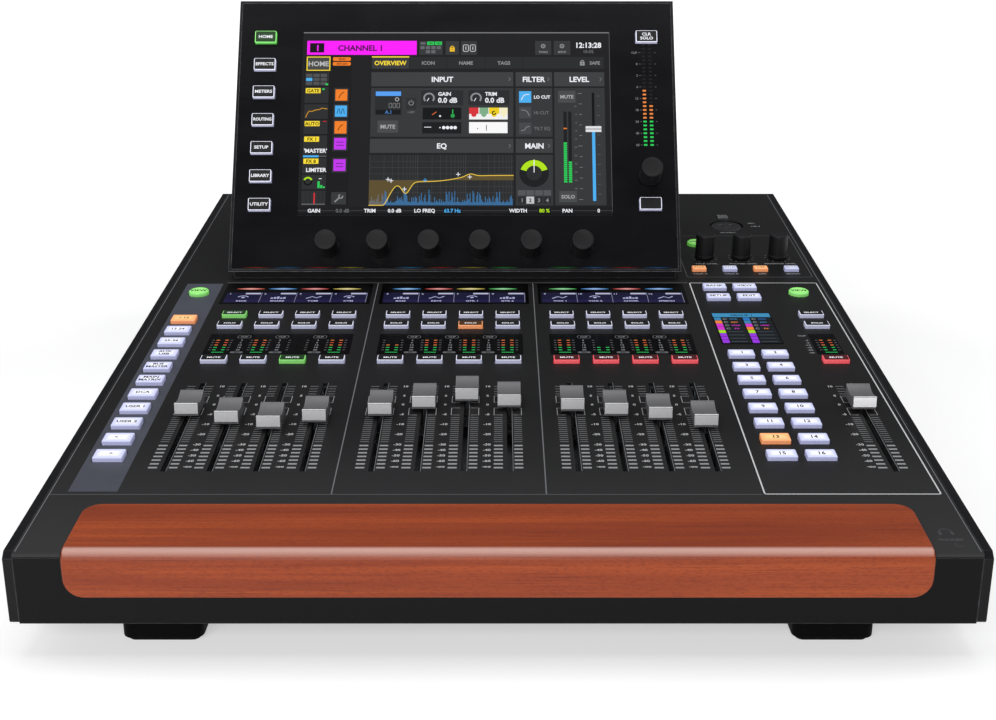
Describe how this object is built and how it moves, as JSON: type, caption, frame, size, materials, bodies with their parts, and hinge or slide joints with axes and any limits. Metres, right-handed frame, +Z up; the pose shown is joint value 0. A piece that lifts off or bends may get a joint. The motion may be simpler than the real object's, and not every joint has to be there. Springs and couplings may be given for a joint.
{
  "type": "mixing console",
  "caption": "Digital mixing console: sloping panel of motorised faders and lit keys, wooden armrest, and a tilted touch-screen pod with rotary knobs.",
  "frame": {"origin": "centre of the footprint, on the surface that the feet stand on", "axes": "+Z up, +Y to the rear of the console, +X to the operator's right"},
  "size_m": [0.456, 0.5688, 0.2657],
  "materials": {
    "case_paint": "fine satin powder coat",
    "panel_paint": "fine satin coat with printed lines",
    "cheek_plastic": "fine grained moulding",
    "armrest_wood": "satin lacquered hardwood",
    "foot_rubber": "matt",
    "pod_plastic": "satin",
    "bezel_gloss": "polished",
    "cover_glass": "polished",
    "display_light": "lit screen",
    "smoked_window": "polished smoked acrylic",
    "preset_light": "lit screen",
    "circuit_board": "solder mask",
    "plated_steel": "zinc plated",
    "supply_case": "folded sheet",
    "socket_black": "satin",
    "socket_nickel": "nickel plated",
    "black_screw": "blackened",
    "cap_grey": "satin silver grey",
    "cap_white": "satin",
    "knob_rubber": "soft-touch",
    "key_clear": "translucent silicone with printed tops",
    "key_green": "translucent, lit",
    "latch_black": "satin",
    "rocker_black": "polished"
  },
  "bodies": {
    "console": {"base_tray": "case_paint", "rear_panel": "case_paint", "top_panel": "panel_paint", "left_cheek": "cheek_plastic", "right_cheek": "cheek_plastic", "armrest": "armrest_wood", "feet": "foot_rubber", "screen_shell": "pod_plastic", "screen_bezel": "bezel_gloss", "touch_glass": "cover_glass", "display_panel": "display_light", "channel_windows": "smoked_window", "meter_windows": "smoked_window", "preset_display": "preset_light", "main_board": "circuit_board", "control_boards": "circuit_board", "fader_units": "plated_steel", "control_units": "plated_steel", "network_sockets": "plated_steel", "power_supply": "supply_case", "talkback_socket": "socket_black", "xlr_inputs": "socket_black", "xlr_outputs": "socket_black", "power_inlet": "socket_black", "phones_sockets": "socket_nickel", "case_screws": "black_screw"},
    "fader_1_body": {"fader_1": "cap_grey"},
    "fader_2_body": {"fader_2": "cap_grey"},
    "fader_3_body": {"fader_3": "cap_grey"},
    "fader_4_body": {"fader_4": "cap_grey"},
    "fader_5_body": {"fader_5": "cap_grey"},
    "fader_6_body": {"fader_6": "cap_grey"},
    "fader_7_body": {"fader_7": "cap_grey"},
    "fader_8_body": {"fader_8": "cap_grey"},
    "fader_9_body": {"fader_9": "cap_grey"},
    "fader_10_body": {"fader_10": "cap_grey"},
    "fader_11_body": {"fader_11": "cap_grey"},
    "fader_12_body": {"fader_12": "cap_grey"},
    "main_fader_body": {"main_fader": "cap_white"},
    "screen_knob_1_body": {"screen_knob_1": "knob_rubber"},
    "screen_knob_2_body": {"screen_knob_2": "knob_rubber"},
    "screen_knob_3_body": {"screen_knob_3": "knob_rubber"},
    "screen_knob_4_body": {"screen_knob_4": "knob_rubber"},
    "screen_knob_5_body": {"screen_knob_5": "knob_rubber"},
    "screen_knob_6_body": {"screen_knob_6": "knob_rubber"},
    "side_knob_body": {"side_knob": "knob_rubber"},
    "monitor_knob_1_body": {"monitor_knob_1": "knob_rubber"},
    "monitor_knob_2_body": {"monitor_knob_2": "knob_rubber"},
    "monitor_knob_3_body": {"monitor_knob_3": "knob_rubber"},
    "layer_keys_body": {"layer_keys": "key_clear"},
    "view_keys_body": {"view_keys": "key_green"},
    "select_keys_body": {"select_keys": "key_clear"},
    "solo_keys_body": {"solo_keys": "key_clear"},
    "mute_keys_body": {"mute_keys": "key_clear"},
    "assign_pads_body": {"assign_pads": "key_clear"},
    "monitor_keys_body": {"monitor_keys": "key_clear"},
    "menu_keys_body": {"menu_keys": "key_clear"},
    "screen_side_keys_body": {"screen_side_keys": "key_clear"},
    "talkback_latch_body": {"talkback_latch": "latch_black"},
    "power_switch_body": {"power_switch": "rocker_black"}
  },
  "joints": [
    {"name": "fader_1_slide", "type": "slide", "parent": "console", "child": "fader_1_body", "axis": [0, 0.9962, 0.0872], "range_m": [-0.066, 0.034]},
    {"name": "fader_2_slide", "type": "slide", "parent": "console", "child": "fader_2_body", "axis": [0, 0.9962, 0.0872], "range_m": [-0.056, 0.044]},
    {"name": "fader_3_slide", "type": "slide", "parent": "console", "child": "fader_3_body", "axis": [0, 0.9962, 0.0872], "range_m": [-0.05, 0.05]},
    {"name": "fader_4_slide", "type": "slide", "parent": "console", "child": "fader_4_body", "axis": [0, 0.9962, 0.0872], "range_m": [-0.058, 0.042]},
    {"name": "fader_5_slide", "type": "slide", "parent": "console", "child": "fader_5_body", "axis": [0, 0.9962, 0.0872], "range_m": [-0.066, 0.034]},
    {"name": "fader_6_slide", "type": "slide", "parent": "console", "child": "fader_6_body", "axis": [0, 0.9962, 0.0872], "range_m": [-0.075, 0.025]},
    {"name": "fader_7_slide", "type": "slide", "parent": "console", "child": "fader_7_body", "axis": [0, 0.9962, 0.0872], "range_m": [-0.085, 0.015]},
    {"name": "fader_8_slide", "type": "slide", "parent": "console", "child": "fader_8_body", "axis": [0, 0.9962, 0.0872], "range_m": [-0.077, 0.023]},
    {"name": "fader_9_slide", "type": "slide", "parent": "console", "child": "fader_9_body", "axis": [0, 0.9962, 0.0872], "range_m": [-0.072, 0.028]},
    {"name": "fader_10_slide", "type": "slide", "parent": "console", "child": "fader_10_body", "axis": [0, 0.9962, 0.0872], "range_m": [-0.066, 0.034]},
    {"name": "fader_11_slide", "type": "slide", "parent": "console", "child": "fader_11_body", "axis": [0, 0.9962, 0.0872], "range_m": [-0.061, 0.039]},
    {"name": "fader_12_slide", "type": "slide", "parent": "console", "child": "fader_12_body", "axis": [0, 0.9962, 0.0872], "range_m": [-0.052, 0.048]},
    {"name": "main_fader_slide", "type": "slide", "parent": "console", "child": "main_fader_body", "axis": [0, 0.9962, 0.0872], "range_m": [-0.0745, 0.0255]},
    {"name": "screen_knob_1_turn", "type": "hinge", "parent": "console", "child": "screen_knob_1_body", "pos_m": [-0.11825, 0.08643, 0.10655], "axis": [0, -0.8499, 0.527], "continuous": true},
    {"name": "screen_knob_2_turn", "type": "hinge", "parent": "console", "child": "screen_knob_2_body", "pos_m": [-0.08295, 0.08643, 0.10655], "axis": [0, -0.8499, 0.527], "continuous": true},
    {"name": "screen_knob_3_turn", "type": "hinge", "parent": "console", "child": "screen_knob_3_body", "pos_m": [-0.04765, 0.08643, 0.10655], "axis": [0, -0.8499, 0.527], "continuous": true},
    {"name": "screen_knob_4_turn", "type": "hinge", "parent": "console", "child": "screen_knob_4_body", "pos_m": [-0.01235, 0.08643, 0.10655], "axis": [0, -0.8499, 0.527], "continuous": true},
    {"name": "screen_knob_5_turn", "type": "hinge", "parent": "console", "child": "screen_knob_5_body", "pos_m": [0.02295, 0.08643, 0.10655], "axis": [0, -0.8499, 0.527], "continuous": true},
    {"name": "screen_knob_6_turn", "type": "hinge", "parent": "console", "child": "screen_knob_6_body", "pos_m": [0.05825, 0.08643, 0.10655], "axis": [0, -0.8499, 0.527], "continuous": true},
    {"name": "side_knob_turn", "type": "hinge", "parent": "console", "child": "side_knob_body", "pos_m": [0.107, 0.11414, 0.15126], "axis": [0, -0.8499, 0.527], "continuous": true},
    {"name": "monitor_knob_1_turn", "type": "hinge", "parent": "console", "child": "monitor_knob_1_body", "pos_m": [0.1495, 0.12365, 0.08956], "axis": [0, -0.0872, 0.9962], "range_deg": [-150, 150]},
    {"name": "monitor_knob_2_turn", "type": "hinge", "parent": "console", "child": "monitor_knob_2_body", "pos_m": [0.1759, 0.12365, 0.08956], "axis": [0, -0.0872, 0.9962], "range_deg": [-150, 150]},
    {"name": "monitor_knob_3_turn", "type": "hinge", "parent": "console", "child": "monitor_knob_3_body", "pos_m": [0.2023, 0.12365, 0.08956], "axis": [0, -0.0872, 0.9962], "range_deg": [-150, 150]},
    {"name": "layer_keys_press", "type": "slide", "parent": "console", "child": "layer_keys_body", "axis": [0, 0.0872, -0.9962], "range_m": [0, 0.001], "stiffness_N_per_m": 400, "springref_m": -0.001},
    {"name": "view_keys_press", "type": "slide", "parent": "console", "child": "view_keys_body", "axis": [0, 0.0872, -0.9962], "range_m": [0, 0.001], "stiffness_N_per_m": 200, "springref_m": -0.001},
    {"name": "select_keys_press", "type": "slide", "parent": "console", "child": "select_keys_body", "axis": [0, 0.0872, -0.9962], "range_m": [0, 0.001], "stiffness_N_per_m": 400, "springref_m": -0.001},
    {"name": "solo_keys_press", "type": "slide", "parent": "console", "child": "solo_keys_body", "axis": [0, 0.0872, -0.9962], "range_m": [0, 0.001], "stiffness_N_per_m": 400, "springref_m": -0.001},
    {"name": "mute_keys_press", "type": "slide", "parent": "console", "child": "mute_keys_body", "axis": [0, 0.0872, -0.9962], "range_m": [0, 0.001], "stiffness_N_per_m": 400, "springref_m": -0.001},
    {"name": "assign_pads_press", "type": "slide", "parent": "console", "child": "assign_pads_body", "axis": [0, 0.0872, -0.9962], "range_m": [0, 0.001], "stiffness_N_per_m": 600, "springref_m": -0.001},
    {"name": "monitor_keys_press", "type": "slide", "parent": "console", "child": "monitor_keys_body", "axis": [0, 0.0872, -0.9962], "range_m": [0, 0.001], "stiffness_N_per_m": 150, "springref_m": -0.001},
    {"name": "menu_keys_press", "type": "slide", "parent": "console", "child": "menu_keys_body", "axis": [0, 0.8499, -0.527], "range_m": [0, 0.001], "stiffness_N_per_m": 300, "springref_m": -0.001},
    {"name": "screen_side_keys_press", "type": "slide", "parent": "console", "child": "screen_side_keys_body", "axis": [0, 0.8499, -0.527], "range_m": [0, 0.001], "stiffness_N_per_m": 150, "springref_m": -0.001},
    {"name": "talkback_latch_press", "type": "slide", "parent": "console", "child": "talkback_latch_body", "axis": [0, 0.0872, -0.9962], "range_m": [0, 0.001], "stiffness_N_per_m": 30, "springref_m": -0.001},
    {"name": "power_switch_rock", "type": "hinge", "parent": "console", "child": "power_switch_body", "pos_m": [-0.16, 0.2782, 0.033], "axis": [1, 0, 0], "range_deg": [-16, 0]}
  ]
}
